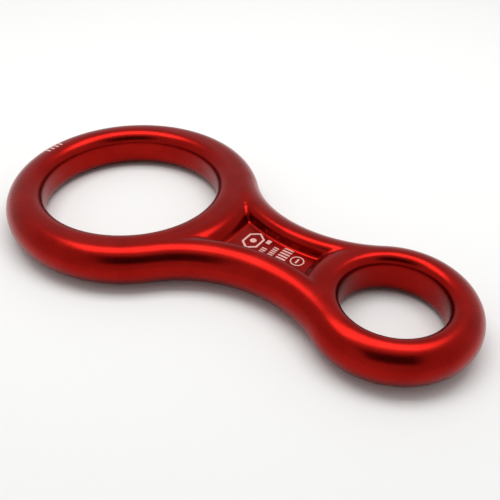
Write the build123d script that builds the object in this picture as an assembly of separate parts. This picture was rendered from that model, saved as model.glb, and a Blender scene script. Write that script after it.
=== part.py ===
"""Figure-eight belay device: one aluminium forging, and the marks that a laser has bared on it.

The body is a bar of round section that runs as a large rope ring, two rails with concave sides and
a small karabiner eye. Between the rails lies a web, sunk below both faces. The laser marks are
bared metal, level with the anodised skin around them. Row frame, in millimetres: X runs from the
rope ring to the karabiner eye, Y across, Z up. The origin is under the middle of the body, on the
surface that it lies on.
"""

import os
from math import atan2, cos, hypot, sin, sqrt

from build123d import *

# Driving dimensions, mm
LENGTH = 150.0
THICKNESS = 12.5
ROPE_RING_R = 38.7        # outside of the rope ring
ROPE_HOLE_R = 26.6
ROPE_HOLE_SHIFT = -1.4    # the hole lies off its ring's middle, away from the neck
ROPE_HOLE_EDGE_R = 4.2
EYE_RING_R = 23.3         # outside of the karabiner eye
EYE_HOLE_R = 14.0
EYE_HOLE_EDGE_R = 3.1
WAIST_R = 36.0            # concave side of each rail
RAIL_WIDTH = 9.45          # from a rail's concave side to the foot of its wall over the web
RAIL_EDGE_R = 2.9
WEB_THICKNESS = 4.2
RING_SLOPE_R = 6.0        # rounding of each ring where it runs down to the web
EYE_SLOPE_OUT = 1.6       # how far the eye's slope stands outside its ring
POCKET_FILLET_R = 0.5     # foot of the walls, and the creases where ring and rail meet
CREASE_END = 1.0          # how far short of its tip each crease stops, where it has no depth left
PARTING_LAND = 0.04       # flat of the outer edge, along the forging's parting line

# Laser marks: places are from the middle of the rope ring, and along X first
MARK_DEPTH = 0.08
EMBLEM_AT = (44.0, 0.9)
EMBLEM_SIZE = (5.2, 8.2)
EMBLEM_LINE = 0.6
EMBLEM_DOT_R = 0.95
BLOCK_AT = (48.0, 2.8)
BLOCK_SIZE = (1.3, 1.7)
ROWS = (                  # each row's middle, number of bars, size of a bar, and pitch
    ((48.6, -1.1), 3, (1.6, 0.45), 0.85),
    ((51.3, 0.1), 5, (1.6, 0.45), 0.85),
    ((54.6, 1.0), 5, (3.0, 0.6), 1.15),
)
DISC_AT = (58.9, 0.4)
DISC_R = 2.0
DISC_LINE = 0.35
DISC_BAR = (0.5, 2.0)
RIM_MARKS = 4
RIM_MARK = (2.2, 0.7)
RIM_MARK_AT = (-33.7, -1.3)
RIM_MARK_PITCH = 1.7

# Worked out from them
HALF = THICKNESS / 2
EDGE_R = HALF - PARTING_LAND / 2
WEB_TOP = WEB_THICKNESS / 2
ROPE_X = ROPE_RING_R - LENGTH / 2
ROPE_HOLE_X = ROPE_X + ROPE_HOLE_SHIFT
EYE_X = LENGTH / 2 - EYE_RING_R
SPAN = EYE_X - ROPE_X
ROPE_REACH = ROPE_RING_R + WAIST_R
EYE_REACH = EYE_RING_R + WAIST_R
WAIST_X = ROPE_X + (ROPE_REACH**2 - EYE_REACH**2 + SPAN**2) / (2 * SPAN)
WAIST_Y = sqrt(ROPE_REACH**2 - (WAIST_X - ROPE_X) ** 2)


def outline():
    """The plan of the body: the two rings' arcs, and the two concave sides that touch them."""
    rope_turn = atan2(WAIST_Y, WAIST_X - ROPE_X)
    eye_turn = atan2(WAIST_Y, EYE_X - WAIST_X)
    rope = Vector(ROPE_X + ROPE_RING_R * cos(rope_turn), ROPE_RING_R * sin(rope_turn))
    eye = Vector(EYE_X - EYE_RING_R * cos(eye_turn), EYE_RING_R * sin(eye_turn))
    rope_low = Vector(rope.X, -rope.Y)
    eye_low = Vector(eye.X, -eye.Y)
    waist = WAIST_Y - WAIST_R
    return Wire(
        [
            ThreePointArc(rope, (ROPE_X - ROPE_RING_R, 0), rope_low),
            ThreePointArc(rope_low, (WAIST_X, -waist), eye_low),
            ThreePointArc(eye_low, (EYE_X + EYE_RING_R, 0), eye),
            ThreePointArc(eye, (WAIST_X, waist), rope),
        ]
    )


def slab():
    """The whole plan at full thickness, with a full-round outer edge."""
    solid = extrude(make_face(outline()), HALF, both=True)
    return fillet(solid.faces().filter_by(Plane.XY).edges(), EDGE_R)


def bore(body, x, radius, edge_r):
    """Cuts a ring's hole, and rounds its two edges."""
    body = body - Pos(x, 0, 0) * Cylinder(radius, THICKNESS)
    rims = [
        edge
        for edge in body.edges().filter_by(GeomType.CIRCLE)
        if hypot(edge.arc_center.X - x, edge.arc_center.Y, edge.radius - radius) < PARTING_LAND
    ]
    return fillet(rims, edge_r)


def hill(x, y, radius, slope_r):
    """A round table as high as the body's upper half, with its upper edge rounded."""
    table = Pos(x, y, HALF / 2) * Cylinder(radius, HALF)
    return fillet(table.edges().group_by(Axis.Z)[-1], slope_r)


def middle_solid(shape):
    """The solid nearest the middle of the neck."""
    return min(shape.solids(), key=lambda solid: hypot(solid.center().X - WAIST_X, solid.center().Y))


def pocket():
    """What is missing above the web: the space that the two rings and the two rails leave."""
    void = Pos(ROPE_X + SPAN / 2, 0, (WEB_TOP + HALF) / 2) * Box(SPAN, 2 * WAIST_Y, HALF - WEB_TOP)
    void -= hill(ROPE_X, 0, ROPE_RING_R, RING_SLOPE_R)
    void -= hill(EYE_X, 0, EYE_RING_R + EYE_SLOPE_OUT, RING_SLOPE_R)
    for side in (1, -1):
        void -= hill(WAIST_X, side * WAIST_Y, WAIST_R + RAIL_WIDTH, RAIL_EDGE_R)
    below_rim = [edge for edge in middle_solid(void).edges() if edge.center().Z < HALF - PARTING_LAND]
    void = middle_solid(fillet(below_rim, POCKET_FILLET_R))
    room = void.bounding_box()
    return middle_solid(void & Pos(room.center()) * Box(room.size.X - 2 * CREASE_END, SPAN, THICKNESS))


def forging():
    """The bare body, with its middle plane at Z = 0."""
    body = bore(slab(), ROPE_HOLE_X, ROPE_HOLE_R, ROPE_HOLE_EDGE_R)
    body = bore(body, EYE_X, EYE_HOLE_R, EYE_HOLE_EDGE_R)
    void = pocket()
    return body - void - mirror(void, Plane.XY)


def at(place):
    """A location from a place that counts from the middle of the rope ring."""
    return Pos(ROPE_X + place[0], place[1])


def bar_row(place, count, size, pitch):
    """A row of equal bars along Y."""
    offsets = [(k - (count - 1) / 2) * pitch for k in range(count)]
    return [at((place[0], place[1] + offset)) * Rectangle(*size) for offset in offsets]


def emblem():
    """A long hexagon drawn as a line, with a dot in its middle."""
    across, along = EMBLEM_SIZE[0] / 2, EMBLEM_SIZE[1] / 2
    half = [(across, along / 2), (0, along), (-across, along / 2)]
    corners = half + [(-x, -y) for x, y in half]
    hexagon = make_face(Polyline(*corners, close=True))
    return [at(EMBLEM_AT) * (hexagon - offset(hexagon, -EMBLEM_LINE)), at(EMBLEM_AT) * Circle(EMBLEM_DOT_R)]


def disc_mark():
    """A ring drawn as a line, with one bar in it."""
    return [at(DISC_AT) * (Circle(DISC_R) - Circle(DISC_R - DISC_LINE)), at(DISC_AT) * Rectangle(*DISC_BAR)]


def web_marks():
    """The marks on the web's upper face."""
    faces = emblem() + [at(BLOCK_AT) * Rectangle(*BLOCK_SIZE)] + disc_mark()
    for row in ROWS:
        faces += bar_row(*row)
    return [Pos(0, 0, WEB_TOP) * extrude(face, -MARK_DEPTH) for face in faces]


def rim_marks():
    """The marks on the rope ring's rounded top: bars cut to a thin skin of the ring's own surface."""
    bend_r = ROPE_RING_R - EDGE_R
    skin = Torus(bend_r, EDGE_R) - Torus(bend_r, EDGE_R - MARK_DEPTH)
    skin = Pos(ROPE_X, 0, PARTING_LAND / 2) * skin
    bars = [extrude(face, HALF) for face in bar_row(RIM_MARK_AT, RIM_MARKS, RIM_MARK, RIM_MARK_PITCH)]
    return [solid for bar in bars for solid in (skin & bar).solids()]


def main():
    """Builds the forging and its marks, and writes one STEP file for each node."""
    body = forging()
    nodes = {"web_laser_marks": web_marks(), "rim_laser_marks": rim_marks()}
    for marks in nodes.values():
        for mark in marks:
            body = body - mark
    nodes["forged_body"] = body.solids()
    os.makedirs("parts", exist_ok=True)
    for name, solids in nodes.items():
        node = Pos(0, 0, HALF) * Compound(children=list(solids))
        node.label = name
        export_step(node, f"parts/{name}.step")
        print(name, len(solids), "solids,", round(sum(solid.volume for solid in solids), 2), "mm3")


main()
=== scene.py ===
"""Looks of a figure-eight belay device: a red anodised forging with laser-bared marks.

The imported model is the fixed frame. This script stands a body with soft forged creases in the
CAD body's place, gives every piece its finish, and lays the part on a white table under a soft
overhead light. Everything is in metres, in the part's frame: X runs from the rope ring to the
karabiner eye, Y across, Z up from the table.
"""

import logging
import math
from dataclasses import dataclass
from enum import Enum
from typing import Any

import bpy
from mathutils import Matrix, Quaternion, Vector


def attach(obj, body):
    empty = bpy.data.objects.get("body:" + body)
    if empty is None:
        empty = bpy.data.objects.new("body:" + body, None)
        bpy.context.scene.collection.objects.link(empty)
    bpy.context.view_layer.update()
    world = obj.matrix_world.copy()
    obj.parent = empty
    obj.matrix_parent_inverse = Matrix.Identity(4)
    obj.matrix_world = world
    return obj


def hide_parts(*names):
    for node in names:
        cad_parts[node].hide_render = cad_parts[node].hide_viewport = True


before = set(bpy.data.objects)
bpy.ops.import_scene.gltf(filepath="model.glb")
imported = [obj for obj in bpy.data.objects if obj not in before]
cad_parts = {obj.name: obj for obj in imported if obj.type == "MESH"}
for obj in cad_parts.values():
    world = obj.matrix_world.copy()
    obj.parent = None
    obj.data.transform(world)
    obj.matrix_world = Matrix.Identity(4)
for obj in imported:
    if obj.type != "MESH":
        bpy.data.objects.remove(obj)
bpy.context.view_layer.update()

log = logging.getLogger("belay_device")

MM = 0.001
NOISE_FAINT = 0.3
NOISE_STRONG = 0.7
NOISE_MIDDLE = 0.5


class Slot(Enum):
    """The record's material slots."""

    RED = "red_anodised_body"
    BARED = "bared_metal_marks"


class Field:
    """A number that varies over a surface: a shader socket with arithmetic on it."""

    def __init__(self, graph: "Graph", socket: bpy.types.NodeSocket) -> None:
        """Wraps a socket.

        Args:
            graph: The node graph that the socket belongs to.
            socket: An output socket with one number.
        """
        self.graph = graph
        self.socket = socket

    def _math(self, operation: str, *values: Any) -> "Field":
        """Adds one Math node and returns its result."""
        return self.graph.number("ShaderNodeMath", {"operation": operation}, dict(enumerate(values)))

    def __add__(self, other: Any) -> "Field":
        """This plus other."""
        return self._math("ADD", self, other)

    __radd__ = __add__

    def __sub__(self, other: Any) -> "Field":
        """This minus other."""
        return self._math("SUBTRACT", self, other)

    def __mul__(self, other: Any) -> "Field":
        """This times other."""
        return self._math("MULTIPLY", self, other)

    __rmul__ = __mul__

    def ramp(self) -> "Field":
        """Steepens the middle of a noise: smoothly from 0 where it is faint to 1 where it is strong."""
        inputs = {0: self, 1: NOISE_FAINT, 2: NOISE_STRONG, 3: 0.0, 4: 1.0}
        return self.graph.number("ShaderNodeMapRange", {"interpolation_type": "SMOOTHSTEP"}, inputs)


class Graph:
    """The node graph of one material."""

    def __init__(self, name: str) -> None:
        """Makes an empty material.

        Args:
            name: The material's name.
        """
        self.material = bpy.data.materials.new(name)
        self.material.use_nodes = True
        self.tree = self.material.node_tree
        self.tree.nodes.clear()

    def node(
        self, kind: str, settings: dict[str, Any] | None = None, inputs: dict[Any, Any] | None = None
    ) -> bpy.types.Node:
        """Adds a node.

        Args:
            kind: The node's type.
            settings: Its properties, which are set first.
            inputs: Values or links, by the socket's name or number.

        Returns:
            The new node.
        """
        made = self.tree.nodes.new(kind)
        for key, value in (settings or {}).items():
            setattr(made, key, value)
        for key, value in (inputs or {}).items():
            if isinstance(value, Field):
                value = value.socket
            if isinstance(value, bpy.types.NodeSocket):
                self.tree.links.new(value, made.inputs[key])
            else:
                made.inputs[key].default_value = value
        return made

    def number(self, kind: str, settings: dict[str, Any], inputs: dict[Any, Any]) -> Field:
        """Adds a node and returns its first output as a Field."""
        return Field(self, self.node(kind, settings, inputs).outputs[0])

    def place(self) -> bpy.types.NodeSocket:
        """The point on the piece, in metres."""
        return self.node("ShaderNodeTexCoord").outputs["Object"]

    def noise(self, size: float, detail: float = 2.0, roughness: float = 0.5) -> Field:
        """Cloudy noise from 0 to 1.

        Args:
            size: The width of one cloud, in metres.
            detail: How many finer layers it has.
            roughness: How strong the finer layers are.

        Returns:
            The noise.
        """
        inputs = {"Vector": self.place(), "Scale": 1 / size, "Detail": detail, "Roughness": roughness}
        return self.number("ShaderNodeTexNoise", {}, inputs)

    def colour(
        self, factor: Field, first: tuple[float, ...], second: tuple[float, ...]
    ) -> bpy.types.NodeSocket:
        """Mixes two colours.

        Args:
            factor: 0 for the first and 1 for the second.
            first: One colour.
            second: The other.

        Returns:
            The mixed colour's socket.
        """
        settings = {"data_type": "RGBA"}
        made = self.node("ShaderNodeMix", settings, {0: factor, 6: (*first, 1.0), 7: (*second, 1.0)})
        return made.outputs[2]

    def finish(
        self, inputs: dict[str, Any], height: Field | None = None, depth: float = 0.0
    ) -> bpy.types.Material:
        """Ends the graph in a Principled shader.

        Args:
            inputs: Values or links for the shader's sockets.
            height: What the surface's fine relief follows, from 0 to 1.
            depth: How deep that relief is, in metres.

        Returns:
            The finished material.
        """
        shader = self.node("ShaderNodeBsdfPrincipled", {}, inputs)
        if height is not None:
            bump = self.node("ShaderNodeBump", {}, {"Height": height, "Distance": depth, "Strength": 1.0})
            self.tree.links.new(bump.outputs[0], shader.inputs["Normal"])
        self.node("ShaderNodeOutputMaterial", {}, {"Surface": shader.outputs[0]})
        return self.material


@dataclass(frozen=True)
class AnodisedRed:
    """Dyed anodising on a satin forging: a red metal that pales only at its grazing edges."""

    deep: tuple[float, ...] = (0.27, 0.0062, 0.0045)
    light: tuple[float, ...] = (0.32, 0.0085, 0.006)
    roughness: float = 0.27
    cloud: float = 9 * MM
    satin: float = 0.25 * MM
    satin_depth: float = 0.0008 * MM
    cloud_wear: float = 0.04
    satin_wear: float = 0.05

    def build(self) -> bpy.types.Material:
        """Makes the material."""
        graph = Graph("anodised_red")
        clouds = graph.noise(self.cloud, detail=3.0)
        grain = graph.noise(self.satin, detail=2.0, roughness=0.6)
        colour = graph.colour(clouds.ramp(), self.deep, self.light)
        uneven = self.cloud_wear * (clouds - NOISE_MIDDLE) + self.satin_wear * (grain - NOISE_MIDDLE)
        roughness = self.roughness + uneven
        inputs = {"Base Color": colour, "Metallic": 1.0, "Roughness": roughness}
        return graph.finish(inputs, grain, self.satin_depth)


@dataclass(frozen=True)
class BaredMetal:
    """Metal that a laser has stripped of its dye: pale, matt and finely ribbed by the beam."""

    pale: tuple[float, ...] = (0.74, 0.44, 0.40)
    dull: tuple[float, ...] = (0.60, 0.32, 0.29)
    rib: float = 0.09 * MM
    rib_depth: float = 0.004 * MM
    metallic: float = 0.25
    roughness: float = 0.55
    uneven: float = 0.1

    def build(self) -> bpy.types.Material:
        """Makes the material."""
        graph = Graph("bared_metal")
        grain = graph.noise(self.rib, detail=1.0)
        colour = graph.colour(grain.ramp(), self.dull, self.pale)
        roughness = self.roughness + self.uneven * grain
        inputs = {"Base Color": colour, "Metallic": self.metallic, "Roughness": roughness}
        return graph.finish(inputs, grain, self.rib_depth)


@dataclass(frozen=True)
class WhitePaper:
    """The table's cover: plain matt white."""

    white: tuple[float, ...] = (0.80, 0.80, 0.79)
    fibre: float = 1.5 * MM
    roughness: float = 0.85
    uneven: float = 0.05
    gloss: float = 0.2

    def build(self) -> bpy.types.Material:
        """Makes the material."""
        graph = Graph("white_paper")
        roughness = self.roughness + self.uneven * graph.noise(self.fibre, detail=4.0)
        inputs = {"Base Color": (*self.white, 1.0), "Roughness": roughness}
        return graph.finish(inputs | {"Specular IOR Level": self.gloss})


@dataclass(frozen=True)
class BlackVelvet:
    """The flag's cover: black, and quite matt."""

    black: tuple[float, ...] = (0.01, 0.01, 0.01)

    def build(self) -> bpy.types.Material:
        """Makes the material."""
        return Graph("black_velvet").finish({"Base Color": (*self.black, 1.0), "Roughness": 1.0})


def dress(piece: bpy.types.Object, material: bpy.types.Material) -> None:
    """Gives a piece its finish.

    Args:
        piece: The object to dress.
        material: The finish.
    """
    piece.data.materials.clear()
    piece.data.materials.append(material)
    log.info("%s wears %s", piece.name, material.name)


class Bench:
    """The few hand operations that every new piece is made with."""

    @staticmethod
    def clear() -> None:
        """Selects nothing."""
        if bpy.context.mode != "OBJECT":
            bpy.ops.object.mode_set(mode="OBJECT")
        bpy.ops.object.select_all(action="DESELECT")

    @staticmethod
    def pick(piece: bpy.types.Object) -> None:
        """Makes a piece the only one in hand."""
        Bench.clear()
        piece.select_set(True)
        bpy.context.view_layer.objects.active = piece

    @staticmethod
    def settle(piece: bpy.types.Object) -> None:
        """Puts a piece's place, turn and size into its mesh."""
        Bench.pick(piece)
        bpy.ops.object.transform_apply(location=True, rotation=True, scale=True)

    @staticmethod
    def weld(piece: bpy.types.Object, distance: float) -> None:
        """Merges a piece's doubled points, and turns its faces outward.

        Args:
            piece: The piece.
            distance: How close two points are that become one, in metres.
        """
        Bench.pick(piece)
        bpy.ops.object.mode_set(mode="EDIT")
        bpy.ops.mesh.select_all(action="SELECT")
        bpy.ops.mesh.remove_doubles(threshold=distance)
        bpy.ops.mesh.normals_make_consistent(inside=False)
        bpy.ops.object.mode_set(mode="OBJECT")

    @staticmethod
    def modify(piece: bpy.types.Object, kind: str, **settings: Any) -> None:
        """Adds a modifier to a piece and applies it.

        Args:
            piece: The piece.
            kind: The modifier's type.
            settings: Its settings, by name.
        """
        Bench.pick(piece)
        modifier = piece.modifiers.new(kind.lower(), kind)
        for key, value in settings.items():
            setattr(modifier, key, value)
        bpy.ops.object.modifier_apply(modifier=modifier.name)


@dataclass
class Forging:
    """The one-piece body: the frame's own solid, with the soft creases that a forging die leaves.

    Sizes are in metres.
    """

    node: str = "forged_body"
    weld: float = 0.002 * MM
    voxel: float = 0.42 * MM
    smoothing_rounds: int = 8
    smoothing_share: float = 0.5

    def build(self) -> bpy.types.Object:
        """Makes the body and puts it in the CAD body's place.

        Returns:
            The body.
        """
        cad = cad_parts[self.node]
        body = bpy.data.objects.new("forging", cad.data.copy())
        body.matrix_world = cad.matrix_world
        bpy.context.scene.collection.objects.link(body)
        Bench.settle(body)
        Bench.weld(body, self.weld)
        Bench.modify(body, "REMESH", mode="VOXEL", voxel_size=self.voxel)
        Bench.modify(body, "SMOOTH", factor=self.smoothing_share, iterations=self.smoothing_rounds)
        Bench.pick(body)
        bpy.ops.object.shade_smooth()
        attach(body, "root")
        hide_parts(self.node)
        dress(body, AnodisedRed().build())
        log.info("%s has %d faces", body.name, len(body.data.polygons))
        return body


@dataclass
class LaserMarks:
    """The marks on the web and on the rope ring."""

    nodes: tuple[str, ...] = ("web_laser_marks", "rim_laser_marks")

    def build(self) -> None:
        """Dresses the marks."""
        bared = BaredMetal().build()
        for node in self.nodes:
            dress(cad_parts[node], bared)


@dataclass
class Studio:
    """A white table, a broad soft light overhead, and a black flag over the camera."""

    table_half: float = 1.5
    light_size: tuple[float, float] = (0.56, 0.24)
    light_watts: float = 1.7
    light_at: tuple[float, float] = (-10.0, 0.46)
    flag_size: tuple[float, float] = (0.46, 0.32)
    flag_at: tuple[float, float] = (44.0, 0.46)
    sky: float = 0.72
    heading: float = 35.8

    def overhead(self, lean: float, distance: float) -> Vector:
        """A place above the part.

        Args:
            lean: Degrees from straight up, towards the camera's side.
            distance: How far from the part's middle, in metres.

        Returns:
            The place.
        """
        turn, tilt = math.radians(self.heading), math.radians(lean)
        out = math.sin(tilt) * distance
        return Vector((math.sin(turn) * out, -math.cos(turn) * out, math.cos(tilt) * distance))

    def turn_to_part(self, place: Vector) -> tuple[float, float, float]:
        """The turn that faces a thing at place towards the part."""
        return place.to_track_quat("Z", "Y").to_euler()

    def lay_table(self) -> None:
        """Lays the white table."""
        Bench.clear()
        bpy.ops.mesh.primitive_plane_add(size=2 * self.table_half)
        table = bpy.context.object
        table.name = "table"
        table.data.materials.append(WhitePaper().build())

    def hang_flag(self) -> None:
        """Hangs the black flag that the part's dark bands mirror."""
        place = self.overhead(*self.flag_at)
        bpy.ops.mesh.primitive_plane_add(size=1, location=place, rotation=self.turn_to_part(place))
        flag = bpy.context.object
        flag.name = "flag"
        flag.scale = (*self.flag_size, 1)
        flag.data.materials.append(BlackVelvet().build())
        flag.visible_camera = False

    def hang_softbox(self) -> None:
        """Hangs the light."""
        lamp = bpy.data.lights.new("softbox", "AREA")
        lamp.shape = "RECTANGLE"
        lamp.size, lamp.size_y = self.light_size
        lamp.energy = self.light_watts
        softbox = bpy.data.objects.new("softbox", lamp)
        softbox.location = self.overhead(*self.light_at)
        softbox.rotation_euler = self.turn_to_part(softbox.location)
        bpy.context.scene.collection.objects.link(softbox)

    def build(self) -> None:
        """Makes the table, the flag, the light and the room."""
        self.lay_table()
        self.hang_flag()
        self.hang_softbox()
        world = bpy.data.worlds.new("room")
        world.use_nodes = True
        background = world.node_tree.nodes["Background"]
        background.inputs["Color"].default_value = (self.sky, self.sky, self.sky, 1)
        bpy.context.scene.world = world
        bpy.context.scene.view_settings.view_transform = "Standard"


@dataclass
class Camera:
    """The camera, close over the near side."""

    azimuth: float = 34.012
    elevation: float = 38.546
    roll: float = 1.541
    distance: float = 0.19745
    focal: float = 50.26
    sensor: float = 36.0
    clip: tuple[float, float] = (0.01, 20.0)
    target: tuple[float, float, float] = (0.00797, -0.00105, 0.00625)

    def build(self) -> None:
        """Places the camera."""
        turn, lift = math.radians(self.azimuth), math.radians(self.elevation)
        back = Vector((math.sin(turn) * math.cos(lift), -math.cos(turn) * math.cos(lift), math.sin(lift)))
        data = bpy.data.cameras.new("camera")
        data.lens, data.sensor_width = self.focal, self.sensor
        data.clip_start, data.clip_end = self.clip
        camera = bpy.data.objects.new("camera", data)
        camera.location = Vector(self.target) + back * self.distance
        camera.rotation_mode = "QUATERNION"
        aim = (-back).to_track_quat("-Z", "Y")
        aim.rotate(Quaternion(back, math.radians(self.roll)))
        camera.rotation_quaternion = aim
        bpy.context.scene.collection.objects.link(camera)
        bpy.context.scene.camera = camera


def main() -> None:
    """Builds everything in order."""
    logging.basicConfig(level=logging.INFO)
    Camera().build()
    Studio().build()
    Forging().build()
    LaserMarks().build()


if __name__ == "__main__":
    main()
